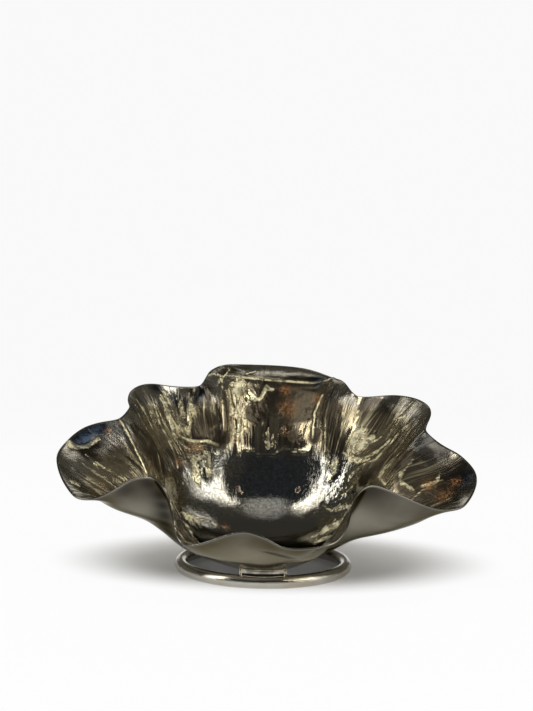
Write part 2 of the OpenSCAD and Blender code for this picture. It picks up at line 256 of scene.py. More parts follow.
# The solder: ways beside the ring where the sheet's slope is taken, steps along a seam and on each of its
# sides, its end in degrees, its foot as a share of the wire, its width at the ends, and its beads' place
# and size
SEAM_WAYS = (0.32, 0.35, 0.38)
SEAM_STEPS, SEAM_SIDE_STEPS = 81, 9
SEAM_END, SEAM_FOOT, SEAM_END_WIDTH = 89, 0.29, 0.3
BEAD_PLACE, BEAD_SIZE = 0.86, 0.06
# The foot ring: steps round it and round its wire, and how deep and how often it is worn
RING_STEPS, WIRE_STEPS = 320, 48
RING_WEAR, WEAR_TURNS = 0.00004, 5
# The paper: steps out, up the bend and round, its flat reach, the bend's radius, the wall's heights, how
# far its wall reaches round behind the bowl, and how far the paper lies under the ring
PAPER_STEPS, BEND_STEPS, PAPER_TURNS = 24, 13, 144
PAPER_START, PAPER_REACH, BEND_RADIUS = 0.02, 5.6, 0.4
WALL_HEIGHTS, WALL_BEHIND, PAPER_DROP = (0.7, 1.1), (0.93, 0.975), 0.00005
# The shadow's oval on the paper: its middle, its shape and where it fades, and where the paper turns plain
SHADOW_MIDDLE, SHADOW_SHAPE, SHADOW_FADE = (0.006, 0.022, 0), (1, 1.5, 1), (0.062, 0.118)
FAR_FADE, BACK_FADE = (0.15, 0.5), (0.05, 0.6)
# Soft lamps: name, degrees round from the camera and up, distance, width and height in metres, share of the
# lamps' brightness, colour
WARM, WARM_CORE, WHITE = (1, 0.98, 0.93), (1, 0.98, 0.94), (1, 1, 1)
LAMPS = (
    ("lamp_right", 64, 29, 1.2, 0.4, 1.2, 0.7, WARM),
    ("lamp_right_core", 56, 32, 1.15, 0.09, 1.3, 2.4, WARM_CORE),
    ("lamp_far_right", 76, 26, 1.2, 0.62, 0.74, 0.45, WARM),
    ("lamp_left", -71, 34, 1.2, 0.3, 1.45, 0.85, WARM),
    ("lamp_left_core", -63, 34, 1.15, 0.09, 1.3, 2.6, WARM_CORE),
    ("lamp_wide_left", -73, 32, 1.2, 0.34, 0.95, 0.5, WARM),
    ("lamp_far_left", -142, 39, 1.2, 0.2, 0.3, 0.9, WARM),
    ("lamp_behind_right", 124, 42, 1.2, 0.18, 0.36, 0.8, WARM),
    ("lamp_back", 177, 42, 1.2, 0.6, 0.3, 0.45, WHITE),
    ("lamp_front", -3, 70, 1.2, 0.66, 0.46, 0.24, WHITE),
)
# The point in the bowl that the lamps look at
LAMPS_AIM = (0, 0, 0.05)
# The dark end of the room: the way to its middle, and how it fades
DARK_END, DARK_FADE = (-0.12, -0.925, 0.36), (0.6, 0.8)
# The camera: its place, and the degrees that it looks down and is rolled
CAMERA_PLACE = (0, -0.87822, 0.19994)
CAMERA_DOWN, CAMERA_ROLL = 6.007, 0.94


def unit(vectors):
    """Vectors divided by their own lengths."""
    return vectors / np.maximum(np.linalg.norm(vectors, axis=-1, keepdims=True), 1e-12)


def blend_smooth(low, high, x):
    """0 below low, 1 above high, and three squares less two cubes between them."""
    t = np.clip((x - low) / (high - low), 0, 1)
    return t * t * (3 - 2 * t)


def bell(far, width):
    """1 at no distance, and less by the bell curve of that half width in millimetres."""
    return np.exp(-(far / (width * MM)) ** 2)


def cubic_curve(knots, values, slopes, spots):
    """The cubic between neighbouring knots that has the values and slopes of both, read at each spot."""
    i = np.clip(np.searchsorted(knots, spots, side="right") - 1, 0, len(knots) - 2)
    column = (-1,) + (1,) * (values.ndim - 1)
    stretch = (knots[i + 1] - knots[i]).reshape(column)
    x = (spots - knots[i]).reshape(column) / stretch
    return (
        values[i] * (2 * x**3 - 3 * x**2 + 1) + slopes[i] * stretch * (x**3 - 2 * x**2 + x)
        + values[i + 1] * (3 * x**2 - 2 * x**3) + slopes[i + 1] * stretch * (x**3 - x**2)
    )


def round_curve(places, directions):
    """A closed cubic through places given by direction, with each slope from the two neighbours."""
    places = np.array(places, float)
    circle = np.eye(1, places.shape[1])[0] * 360
    ring = np.concatenate([places[-2:] - circle, places, places[:3] + circle])
    where, value = ring[:, 0], ring[:, 1:]
    slope = (value[2:] - value[:-2]) / (where[2:] - where[:-2])[:, None]
    return cubic_curve(where[1:-1], value[1:-1], slope, directions)


def turned(reach, turn, height):
    """Points that far from the middle, in that direction in radians, at that height."""
    return np.stack(np.broadcast_arrays(reach * np.cos(turn), reach * np.sin(turn), height), -1)


def soften(values, sigma, closed):
    """Values averaged along their first axis by a bell curve of sigma steps. Open ends go on straight."""
    half = int(np.ceil(3 * sigma))
    weight = np.exp(-0.5 * (np.arange(-half, half + 1) / sigma) ** 2)
    weight /= weight.sum()
    if closed:
        padded = np.concatenate([values[-half:], values, values[:half]])
    else:
        start = 2 * values[:1] - values[half:0:-1]
        end = 2 * values[-1:] - values[-2:-half - 2:-1]
        padded = np.concatenate([start, values, end])
    return sum(w * padded[k:k + len(values)] for k, w in enumerate(weight))


def noise(points, seed):
    """Every whole-number corner of space has a made-up height from -1 to 1. A point takes the heights of
    the eight corners round it, blended by the fifth-power curve."""
    cell = np.floor(points).astype(np.int64)
    part = points - cell
    part = part**3 * (part * (part * 6 - 15) + 10)
    total = np.zeros(points.shape[:-1])
    for corner in np.ndindex(2, 2, 2):
        key = (cell + corner).astype(np.uint32)
        mixed = sum(key[..., k] * np.uint32(number) for k, number in enumerate(STIR))
        mixed = mixed + np.uint32(seed * STIR_SEED)
        mixed = (mixed ^ (mixed >> np.uint32(SHIFTS[0]))) * np.uint32(STIR_AGAIN)
        height = ((mixed ^ (mixed >> np.uint32(SHIFTS[1]))) & np.uint32(LOW_BITS)) / (LOW_BITS / 2) - 1
        total += height * np.where(corner, part, 1 - part).prod(-1)
    return total


def sheet_middle(bowl, directions, ways):
    """The sheet's middle surface: in each direction a cubic runs through its eight places from the middle
    to the rim, and is turned to that direction. Both run through a bell curve, so that reflections bend
    without kinks."""
    top = bowl.ring_top
    rise = (bowl.bowl_height - top) / 100
    seat = round_curve(SEAT_PLACES, directions) * MM
    low = np.full(len(directions), top + rise * BOTTOM_RISE)
    ring = np.full(len(directions), bowl.ring_r)
    rows = [
        np.stack([0 * ring, low], -1),
        np.stack([INNER_REACH * ring, low + (seat[:, 0] - low) * INNER_REACH**2], -1),
        np.stack([ring, seat[:, 0]], -1),
    ]
    for places in (TURN_PLACES, WELL_PLACES, WALL_PLACES, LIP_PLACES, RIM_PLACES):
        share = round_curve(places, directions)
        rows.append(np.stack([bowl.bowl_reach * share[:, 0] / 100, top + rise * share[:, 1]], -1))
    spokes = np.stack(rows, 1)
    spokes = soften(spokes, bowl.round_soft * len(directions) / 360, True)
    slope = np.empty_like(spokes)
    slope[:, 1:-1] = (spokes[:, 2:] - spokes[:, :-2]) / (KNOTS[2:] - KNOTS[:-2])[:, None]
    slope[:, 0] = np.stack([spokes[:, 1, 0] / KNOTS[1], 0 * spokes[:, 0, 0]], -1)
    slope[:, -1] = 2 * (spokes[:, -1] - spokes[:, -2]) / (KNOTS[-1] - KNOTS[-2]) - slope[:, -2]
    lines = cubic_curve(KNOTS, spokes.swapaxes(0, 1), slope.swapaxes(0, 1), ways)
    lines = soften(lines, bowl.way_soft * len(ways), False).swapaxes(0, 1)
    reach = lines[..., 0] * (1 - bowl.trim * blend_smooth(*TRIM_BEGINS, ways))
    return turned(reach, np.radians(directions)[:, None], lines[..., 1])


def grid_normals(points):
    """Unit normals of a grid that is closed along its first axis, from the steps to both neighbours."""
    around = np.roll(points, -1, 0) - np.roll(points, 1, 0)
    along = np.gradient(points, axis=1)
    return unit(np.cross(around, along))


def ring_mesh(name, rings, caps=()):
    """A mesh from rings of points, each joined to the next by four-sided faces. The caps are the points
    that close its ends, the first ring's first. Without them the last ring is joined to the first. The
    faces look outwards."""
    steps, size = rings.shape[:2]
    place = np.arange(steps * size).reshape(steps, size)
    after = np.roll(place, -1, 1)
    quads = np.stack([place, after, np.roll(after, -1, 0), np.roll(place, -1, 0)], -1)
    fans, points = np.empty((0, 3), int), rings.reshape(-1, 3)
    if len(caps):
        quads = quads[:-1]
        start, end = np.full(size, steps * size), np.full(size, steps * size + 1)
        fans = [(start, after[0], place[0]), (end, place[-1], after[-1])][:len(caps)]
        fans = np.concatenate([np.stack(fan, -1) for fan in fans])
        points = np.concatenate([points, caps])
    quads = quads.reshape(-1, 4)
    triangles = np.concatenate([quads[:, [0, 1, 2]], quads[:, [0, 2, 3]], fans])
    a, b, c = (points[triangles[:, k]] for k in range(3))
    if np.einsum("ij,ij->i", a, np.cross(b, c)).sum() < 0:
        quads, fans = quads[:, ::-1], fans[:, ::-1]
    mesh = bpy.data.meshes.new(name)
    mesh.from_pydata(points, [], quads.tolist() + fans.tolist())
    mesh.validate()
    mesh.shade_smooth()
    piece = bpy.data.objects.new(name, mesh)
    bpy.context.scene.collection.objects.link(piece)
    return piece


def keep_values(piece, name, values):
    """Gives each point of a piece a number, or three, that its material can read."""
    wide = values.ndim == 2
    layer = piece.data.attributes.new(name, "FLOAT_VECTOR" if wide else "FLOAT", "POINT")
    layer.data.foreach_set("vector" if wide else "value", values.astype(np.float32).ravel())


def far_from(points, places, at_place):
    """How far each point is from the broken line through places on the sheet, or from a single place."""
    line = [at_place(*place) for place in places]
    nearest = np.linalg.norm(points - line[0], axis=-1)
    for start, end in zip(line[:-1], line[1:]):
        step = end - start
        along = np.clip((points - start) @ step / (step @ step), 0, 1)[..., None]
        nearest = np.minimum(nearest, np.linalg.norm(points - start - along * step, axis=-1))
    return nearest


def crease_heights(points, at_place):
    """Each crease adds a bell curve of the distance to its line. Its crest, which gets a painted highlight,
    is a narrower curve.
    """
    total, crest = np.zeros(points.shape[:-1]), np.zeros(points.shape[:-1])
    for height, width, *places in CREASES:
        far = far_from(points, places, at_place)
        total += height * MM * bell(far, width)
        bright = min(max(height, 0) / CREST_HEIGHT, 1)
        crest = np.maximum(crest, bright * bell(far, width * CREST_SHARE))
    return total, crest


def crumple_shares(points, at_place):
    """1 on plain sheet. Each crumpled patch adds a bell curve of the distance to its middle."""
    total = np.ones(points.shape[:-1])
    for *place, radius, times in CRUMPLES:
        total += times * bell(far_from(points, [place], at_place), radius)
    return total


def greatest_share(marks, points, at_place):
    """The greatest of bell curves of the distance to each stroke's line or each patch's middle."""
    total = np.zeros(points.shape[:-1])
    for share, width, *places in marks:
        total = np.maximum(total, share * bell(far_from(points, places, at_place), width))
    return total


def hammered(bowl, points, turn_way, at_place):
    """Heights that the hammer left inside: round dents from two sizes of noise, and long strokes from the
    well to the rim, from noise drawn out along the way, which is strongest on the walls. The creases are
    added. The marks say how ridged and how crumpled each point is, and how near a crest."""
    way = turn_way[..., 2]
    dents = sum(depth * noise(points / size, seed) for size, depth, seed in DENTS)
    strokes = SWELL_DEPTH * noise(turn_way * SWELLS, seed=3)
    for run, depth, seed in FURROWS:
        strokes -= depth * np.abs(noise(turn_way * run, seed))
    ridged = round_curve(RIDGED, np.degrees(np.arctan2(turn_way[..., 1], turn_way[..., 0]).ravel()) % 360)
    ridged = ridged.reshape(way.shape)
    crumpled = crumple_shares(points, at_place)
    creases, crest = crease_heights(points, at_place)
    walls = blend_smooth(*WALLS_BEGIN, way) * (1 - 0.6 * blend_smooth(*STROKES_FADE, way))
    patches = 0.35 + blend_smooth(*PATCH_RANGE, noise(turn_way * DEEPER_PATCHES, seed=7))
    dents = bowl.dent_depth * dents * (0.35 + 0.25 * walls) * crumpled
    height = dents + bowl.stroke_depth * strokes * walls * patches * ridged + creases
    marks = np.stack([walls * ridged, np.clip((crumpled - 1) / 1.5, 0, 1), crest], -1)
    return height * (1 - blend_smooth(*HAMMER_ENDS, way)), marks


def ring_ways(count, bottom):
    """Where the rings lie along the way to the edge: evenly in the bottom, and evenly beyond it."""
    share, way = bottom
    return EDGE_WAY * np.interp(np.arange(1, count + 1) / count, (0, share, 1), (0, way, 1))


def raised_sheet(bowl):
    """The whole sheet as rings: the inside from the middle out, half a circle over the edge, and the
    underside back to the middle. With them come both end points and the values that the silver reads at
    each point."""
    directions = np.arange(DIRECTIONS) * 360 / DIRECTIONS
    turn = np.radians(directions)[:, None]
    fine = np.linspace(0, 1, FINE_STEPS)
    middle = sheet_middle(bowl, directions, fine)
    normal = grid_normals(middle)
    normal *= np.sign(normal[:, BOTTOM_STEP, 2].mean())

    def at(ways, values):
        """Values of the fine steps, blended evenly between both neighbours of each way."""
        spot = np.interp(ways, fine, np.arange(FINE_STEPS))
        i = np.minimum(spot.astype(int), FINE_STEPS - 2)
        part = (spot - i)[:, None]
        return values[:, i] * (1 - part) + values[:, i + 1] * part

    def layer(ways):
        """The sheet's middle, its normals, and what the noises run along, for rings at those ways."""
        return at(ways, middle), unit(at(ways, normal)), turned(1, turn, ways)

    def at_place(direction, way):
        """The point of the sheet's middle nearest to a direction and a way in hundredths."""
        return middle[round(direction * DIRECTIONS / 360) % DIRECTIONS, round(way / 100 * (FINE_STEPS - 1))]

    half = bowl.sheet_t / 2
    spots, facing, inside_map = layer(ring_ways(INSIDE_RINGS, BOTTOM_INSIDE))
    height, marks = hammered(bowl, spots, inside_map, at_place)
    inside = spots + facing * (half + height)[..., None]
    spots, facing, under_map = layer(ring_ways(UNDER_RINGS, BOTTOM_UNDER)[::-1])
    way = under_map[..., 2]
    waves = bowl.under_depth * noise(spots / UNDER_WAVE, seed=5) * (1 - blend_smooth(*WAVES_END, way))
    under = spots - facing * (half + waves * blend_smooth(*WAVES_BEGIN, way))[..., None]
    edge, facing, edge_map = layer(np.array([EDGE_WAY]))
    over = np.arange(1, RIM_RINGS) / RIM_RINGS
    angle = (np.pi * over)[:, None]
    rim = edge + half * np.cos(angle) * facing + np.sin(angle) * (middle[:, -1:] - edge)
    rim_map = np.broadcast_to(edge_map, rim.shape)
    rings = np.concatenate([inside, rim, under], 1).swapaxes(0, 1)
    turn_way = np.concatenate([inside_map, rim_map, under_map], 1).swapaxes(0, 1).reshape(-1, 3)
    side = np.concatenate([np.ones(INSIDE_RINGS), 1 - over, np.zeros(UNDER_RINGS)])
    side = np.repeat(side, DIRECTIONS)
    low = middle[0, 0]
    caps = np.array([low + (0, 0, half), low - (0, 0, half)])
    flat = rings.reshape(-1, 3)

    def patches(table):
        """What a table of patches leaves at each point."""
        marks = [(share, radius, place) for *place, radius, share in table]
        return greatest_share(marks, flat, at_place)

    # Inside, tarnishing and painted shade; under the bowl, painted shade only
    tarnish_shade_patches = np.where(side > 0, patches(TARNISH_AND_SHADE_PATCHES), patches(UNDER_SHADE_PATCHES))
    # The painted highlights, from their patches and strokes
    painted_highlight = np.maximum(patches(PAINTED_HIGHLIGHT_PATCHES), greatest_share(PAINTED_HIGHLIGHT_STROKES, flat, at_place))
    # The stain values carry the fire's stains, the tarnishing and painted shade, and the painted highlights
    stain = np.stack([patches(STAINS) * side, tarnish_shade_patches, painted_highlight * side], -1)
    plain = np.zeros((len(flat) - marks[..., 0].size, 3))
    marks = np.concatenate([marks.swapaxes(0, 1).reshape(-1, 3), plain])
    none = np.zeros((2, 3))
    return rings, caps, {
        "turn_way": np.concatenate([turn_way, [[1, 0, 0], [1, 0, 0]]]),
        "inside": np.append(side, [1, 0]),
        "stain": np.concatenate([stain, none]),
        "marks": np.concatenate([marks, none]),
        "dark_reflection": np.append(patches(DARK_REFLECTION_PATCHES) * side, [0, 0]),
    }


def bent_ring(bowl):
    """The foot ring: a circle of wire carried round a circle, with its radius worn a little by noise, and
    what lies under the table rubbed flat. With it come the values that its silver reads."""
    turn = np.radians(np.arange(RING_STEPS) * 360 / RING_STEPS)[:, None]
    across = np.radians(np.arange(WIRE_STEPS) * 360 / WIRE_STEPS)[None, :]
    radius = bowl.wire_d / 2 - RING_WEAR * (1 + noise(turned(WEAR_TURNS, turn, across * 0), seed=8))
    reach = bowl.ring_r + radius * np.cos(across)
    height = np.maximum(bowl.ring_top - bowl.wire_d / 2 + radius * np.sin(across), 0)
    return turned(reach, turn, height), turned(1, turn, np.sin(across)).reshape(-1, 3)


def solder_bridge(bowl, direction, length):
    """A bridge that follows the ring. Its foot lies on the top of the wire, its head on the underside of
    the sheet, its sides are hollowed by a parabola, and its width is half a circle along its length with a
    bead at each end."""
    directions = np.arange(DIRECTIONS) * 360 / DIRECTIONS
    inner, over, outer = np.moveaxis(sheet_middle(bowl, directions, np.array(SEAM_WAYS)), 1, 0)
    reach = np.linalg.norm(over[:, :2], axis=1)
    step = np.linalg.norm(outer[:, :2], axis=1) - np.linalg.norm(inner[:, :2], axis=1)
    slope = (outer[:, 2] - inner[:, 2]) / step
    under = over[:, 2] + slope * (bowl.ring_r - reach) - bowl.sheet_t / 2 * np.sqrt(1 + slope**2)
    along = np.sin(np.radians(np.linspace(-SEAM_END, SEAM_END, SEAM_STEPS)))
    turn = direction + np.degrees(along * length / 2 / bowl.ring_r)
    slope, under = (np.interp(turn, directions, values)[:, None] for values in (slope, under))
    bead = np.exp(-((np.abs(along) - BEAD_PLACE) / BEAD_SIZE) ** 2)
    full = SEAM_END_WIDTH + (1 - SEAM_END_WIDTH) * np.sqrt(1 - along**2) + bowl.bead * bead
    across, up = np.linspace(1, -1, SEAM_SIDE_STEPS), np.linspace(0, 1, SEAM_SIDE_STEPS)[1:-1]
    foot, head = bowl.wire_d * SEAM_FOOT, bowl.seam_head
    side = (foot + (head - foot) * up) * (1 - 4 * bowl.seam_hollow * up * (1 - up))
    x = full[:, None] * np.concatenate([foot * across, -side, -head * across, side[::-1]])
    share = np.concatenate([0 * across, up, 0 * across + 1, up[::-1]])
    low = bowl.ring_top - bowl.wire_d / 2 + np.sqrt(bowl.wire_d**2 / 4 - x**2) - bowl.seam_sink
    height = low + (under + slope * x + bowl.seam_sink - low) * share
    rings = turned(bowl.ring_r + x, np.radians(turn)[:, None], height)
    return rings, rings[[0, -1]].mean(1)


def paper_form():
    """The paper's rings: flat and, only behind the bowl, then up a quarter circle and a wall."""
    bend = np.radians(np.linspace(0, 90, BEND_STEPS))[1:]
    wall = PAPER_REACH + BEND_RADIUS
    flat = np.linspace(PAPER_START, PAPER_REACH, PAPER_STEPS)
    reach = np.concatenate([flat, PAPER_REACH + BEND_RADIUS * np.sin(bend), [wall, wall]])[:, None]
    height = np.concatenate([0 * flat, BEND_RADIUS - BEND_RADIUS * np.cos(bend), WALL_HEIGHTS])[:, None]
    turn = np.radians(np.arange(PAPER_TURNS) * 360 / PAPER_TURNS)
    behind = blend_smooth(*WALL_BEHIND, np.sin(turn))
    return turned(reach, turn, height * behind - PAPER_DROP)


class Wire:
    """One output of a shader node, which can be used in sums as a number is."""

    def __init__(self, tree, socket=None):
        self.tree = tree
        self.socket = socket

    def node(self, kind, settings, inputs, output=0):
        """Adds a node: first its settings, such as an operation, then its sockets' values or links."""
        made = self.tree.nodes.new(kind)
        for name, value in settings.items():
            setattr(made, name, value)
        for name, value in inputs.items():
            socket = made.inputs[name]
            if isinstance(value, Wire):
                self.tree.links.new(value.socket, socket)
            else:
                socket.default_value = (*value, 1) if socket.type == "RGBA" else value
        return Wire(self.tree, made.outputs[output])

    def maths(self, operation, *values):
        """One operation on numbers or wires."""
        return self.node("ShaderNodeMath", {"operation": operation}, dict(enumerate(values)))

    def __add__(self, other):
        return self.maths("ADD", self, other)

    def __sub__(self, other):
        return self.maths("SUBTRACT", self, other)

    def __rsub__(self, other):
        return self.maths("SUBTRACT", other, self)

    def __mul__(self, other):
        return self.maths("MULTIPLY", self, other)

    __radd__ = __add__
    __rmul__ = __mul__

    def most(self, other):
        """The greater of this and another."""
        return self.maths("MAXIMUM", self, other)

    def sway(self, times):
        """This noise, taken about 0, so many times."""
        return (self - 0.5) * times

    def veins(self, width):
        """1 along the lines where this noise is a half, and 0 beyond that width on both sides."""
        return 1 - self.maths("ABSOLUTE", self - 0.5).smooth(0, width)

    def smooth(self, low, high):
        """0 below low, 1 above high, smooth between."""
        inputs = {"Value": self, "From Min": low, "From Max": high}
        return self.node("ShaderNodeMapRange", {"interpolation_type": "SMOOTHSTEP"}, inputs)

    def mix(self, first, second):
        """A colour from first, where this wire is 0, to second, where it is 1."""
        return self.node("ShaderNodeMix", {"data_type": "RGBA"}, {0: self, 6: first, 7: second}, 2)

    def attribute(self, name, output="Vector"):
        """What a piece keeps under that name at each of its points."""
        return self.node("ShaderNodeAttribute", {"attribute_name": name}, {}, output)

    def parts(self):
        """The three numbers of this vector."""
        first = self.node("ShaderNodeSeparateXYZ", {}, {0: self})
        return [Wire(self.tree, socket) for socket in first.socket.node.outputs]

    def noise(self, scale, detail=2, roughness=0.5):
        """Blender's noise on this vector, 0 to 1 about a half. Three scales draw it out along the vector's
        parts."""
        vector = self
        if isinstance(scale, tuple):
            vector = self.node("ShaderNodeMapping", {"vector_type": "POINT"}, {0: self, "Scale": scale})
            scale = 1
        inputs = {"Vector": vector, "Scale": scale, "Detail": detail, "Roughness": roughness}
        return self.node("ShaderNodeTexNoise", {}, inputs)

    def vector_maths(self, operation, other=(0, 0, 0), output="Vector"):
        """A vector operation on this and another, of which a number is the output "Value"."""
        return self.node("ShaderNodeVectorMath", {"operation": operation}, {0: self, 1: other}, output)

    def into(self, shader, name):
        """Feeds one socket of a shader."""
        self.tree.links.new(self.socket, shader.inputs[name])

    def relief(self, shader, strength, distance):
        """Makes this height the relief of a shader."""
        inputs = {"Height": self, "Strength": strength, "Distance": distance}
        self.node("ShaderNodeBump", {}, inputs).into(shader, "Normal")


def new_material(name):
    """A material with an empty tree, and the tree's starting wire."""
    material = bpy.data.materials.new(name)
    material.use_nodes = True
    material.node_tree.nodes.clear()
    return material, Wire(material.node_tree)


def new_metal(name):
    """A material with one metal shader, its tree's starting wire, and that shader."""
    material, start = new_material(name)
    metal = start.node("ShaderNodeBsdfPrincipled", {}, {"Metallic": 1})
    metal.into(start.tree.nodes.new("ShaderNodeOutputMaterial"), "Surface")
    return material, start, metal.socket.node


def bowl_silver(finish):
    """Tarnished silver: warm on the walls, neutral in the well and bright on the lips. Streaks and ridges
    follow the strokes, brown patina lies in the hollows, and brown painted shade in the dark patches.
    Crests and the patches and strokes of painted highlight are bright and matt, the crests partly from
    real wear by rubbing. The lips get a painted dark blue reflection, and the fire's stains are orange in
    places. The underside is calm satin, with painted shade in patches and darker towards the rim."""
    material, start, shader = new_metal("hand_raised_silver")
    shader.inputs["Specular Tint"].default_value = (*finish.grazing, 1)
    place = start.node("ShaderNodeTexCoord", {}, {}, "Object")
    around = start.attribute("turn_way")
    side = start.attribute("inside", "Fac")
    dark_reflection = start.attribute("dark_reflection", "Fac")
    # The stain values: the fire's stains, tarnishing and painted shade, and the painted highlights
    fire, tarnish_shade_patches, painted_highlight = start.attribute("stain").parts()
    ridged, crumpled, crest = start.attribute("marks").parts()
    way = around.parts()[2]
    walls, lips = way.smooth(*WALLS_BEGIN), way.smooth(*LIPS_BEGIN)

    # Noises, coarse to fine
    clouds = place.noise(34, 3)
    streaks = around.noise((26, 26, 3), 3, 0.6)
    spots = place.noise(120, 3, 0.6)
    dents = place.noise(300, 2, 0.55)
    flecks = place.noise(700, 2, 0.6).smooth(0.47, 0.6)
    tone = place.noise(700, 3, 0.7).smooth(0.3, 0.7)
    grain = place.noise(1300, 2, 0.6)
    wiped = place.noise((300, 300, 3000)) + place.noise((3000, 300, 300))
    ridges = around.noise((27, 27, 1.7), 1, 0.4).veins(0.04)
    ridges = ridges * ridged * around.noise((5, 5, 2.5), 1).smooth(0.42, 0.58)
    hollows = around.noise((44, 44, 2.4)).veins(0.05) * ridged * (1 - ridges)

    # Silver of the well, the lips and the walls
    warmth = (walls * 0.9 + clouds.smooth(0.3, 0.7) * 0.25) * (0.75 + streaks * 0.5)
    warmth = warmth * (1 - way.smooth(0.84, 0.93) * 0.75) * (0.8 + tone * 0.4)
    bottom = 1 - way.smooth(0.39, 0.45) * (0.7 + tone * 0.3)
    satin = (lips * 0.5).mix(tone.mix(finish.satin, finish.silver), finish.lip)
    colour = warmth.mix(bottom.mix(satin, finish.well_bottom), finish.warm_silver)

    # Brown: real patina in the hollows and streaks, and painted shade in the dark patches
    brown = walls * (1 - lips * 0.45) * (clouds * 0.45 + streaks * 0.55).smooth(0.48, 0.6) * 0.85
    dulled_and_shaded = (tarnish_shade_patches + spots.sway(0.7)).smooth(0.25, 0.6)
    brown = brown.most((dulled_and_shaded * 0.9).most(hollows * 0.7))
    colour = brown.mix(colour, finish.tarnish_and_shade)

    # Painted highlights on the crests and ridges, partly real wear from rubbing, and in the patches and
    # strokes of painted highlight, broken up by the dents
    crest = crest.smooth(0.3, 0.8) * (0.35 + dents.smooth(0.42, 0.58) * 0.65)
    highlight_core = painted_highlight.smooth(0.68, 0.86) * (0.4 + dents.smooth(0.38, 0.58) * 0.6)
    broken = (painted_highlight + streaks.sway(2.2) + spots.sway(1) + tone.sway(0.2)).smooth(0.4, 0.72)
    painted_highlight = painted_highlight.smooth(0.02, 0.35) * broken * (0.4 + dents.smooth(0.4, 0.6) * 0.6)
    painted_highlight = painted_highlight.most(highlight_core)
    rubbed_and_highlight = (ridges * 0.5).most(crest).most(painted_highlight)
    colour = rubbed_and_highlight.mix(colour, highlight_core.mix(finish.rubbed_and_highlight, finish.highlight_core))

    # Painted dark blue reflection on the lips, and orange from the heat
    colour = (dark_reflection + spots.sway(0.2)).smooth(0.2, 0.7).mix(colour, finish.blue)
    colour = (fire * (0.25 + flecks * 0.5)).mix(colour, finish.fire)

    # The underside and the edge. Under the bowl, painted shade makes it darker towards the rim and in its
    # dark patches
    under = clouds.smooth(0.35, 0.65).mix(finish.underside, finish.underside_worn)
    under = (way.smooth(0.72, 0.97) * (0.35 + clouds * 0.6)).mix(under, finish.tarnish_and_shade)
    under = (tarnish_shade_patches * 0.9).mix(under, finish.under_shade)
    # A painted highlight on the rim's edge, where the highlight patches reach it
    edge = painted_highlight.mix(finish.edge, finish.rubbed_and_highlight)
    way.smooth(*EDGE_BEGINS).mix(side.mix(under, colour), edge).into(shader, "Base Color")

    worked = ridges.most(crest).most(crumpled.smooth(0.1, 0.6))
    dull = walls * (1 - worked) * finish.wall_roughness + (lips * 0.08 + dulled_and_shaded * (1 - lips) * 0.3) * side
    rough = finish.roughness + grain.sway(0.1) + streaks.sway(0.1) + (1 - side) * 0.09 + dull
    (rough + fire * flecks * 0.3 + rubbed_and_highlight * 0.03 + painted_highlight * 0.12).into(shader, "Roughness")
    # Matt share: dull patina on the walls, and the painted highlights made partly matt, so that they catch
    # the lamps from every side
    matt = (walls * (1 - lips * 0.7) * finish.patina).most(painted_highlight * 0.7 + highlight_core * 0.2)
    matt = matt.most((rubbed_and_highlight * 0.2).most(crest * crest * 0.75))
    (1 - side * matt).into(shader, "Metallic")

    height = ridges * 0.22 - hollows * 0.15 + ridged * streaks * 0.2 + (0.06 + crumpled * 0.3) * spots
    height = height + dents * (0.03 + crumpled * 0.7 + painted_highlight * 0.6)
    height = height + wiped * 0.03 + grain * 0.03 + fire * flecks * 0.3
    (height * (0.03 + side * 0.97)).relief(shader, 1, MM)
    return material


def ring_silver(finish):
    """Drawn silver wire: fine scratches along the wire, a little grey where it was worn."""
    material, start, shader = new_metal("drawn_silver_wire")
    clouds = start.node("ShaderNodeTexCoord", {}, {}, "Object").noise(60, 3)
    scratches = start.attribute("turn_way").noise((4, 4, 60), 3)
    clouds.smooth(0.35, 0.7).mix(finish.ring, finish.ring_worn).into(shader, "Base Color")
    (finish.ring_roughness + scratches.sway(0.15) + clouds.sway(0.1)).into(shader, "Roughness")
    (scratches + clouds * 0.5).relief(shader, 0.2, FINE_RELIEF)
    return material


def solder(finish):
    """Solder that flowed and was scraped: a little rougher and greyer than the silver."""
    material, start, shader = new_metal("flowed_solder")
    clouds = start.node("ShaderNodeTexCoord", {}, {}, "Object").noise(300, 3)
    clouds.smooth(0.35, 0.65).mix(finish.solder, finish.ring_worn).into(shader, "Base Color")
    (finish.roughness + 0.05 + clouds.sway(0.2)).into(shader, "Roughness")
    clouds.relief(shader, 0.3, FINE_RELIEF)
    return material


def length_setting(name, description, default):
    """A length in metres."""
    return FloatProperty(name=name, description=description, default=default, unit="LENGTH")


def share_setting(name, description, default):
    """A share from 0 to 1."""
    limits = {"min": 0, "max": 1, "subtype": "FACTOR"}
    return FloatProperty(name=name, description=description, default=default, **limits)


def colour_setting(name, owner, default):
    """A colour as three shares of red, green and blue light."""
    words = "Colour of " + owner
    return FloatVectorProperty(name=name, description=words, subtype="COLOR", default=default)


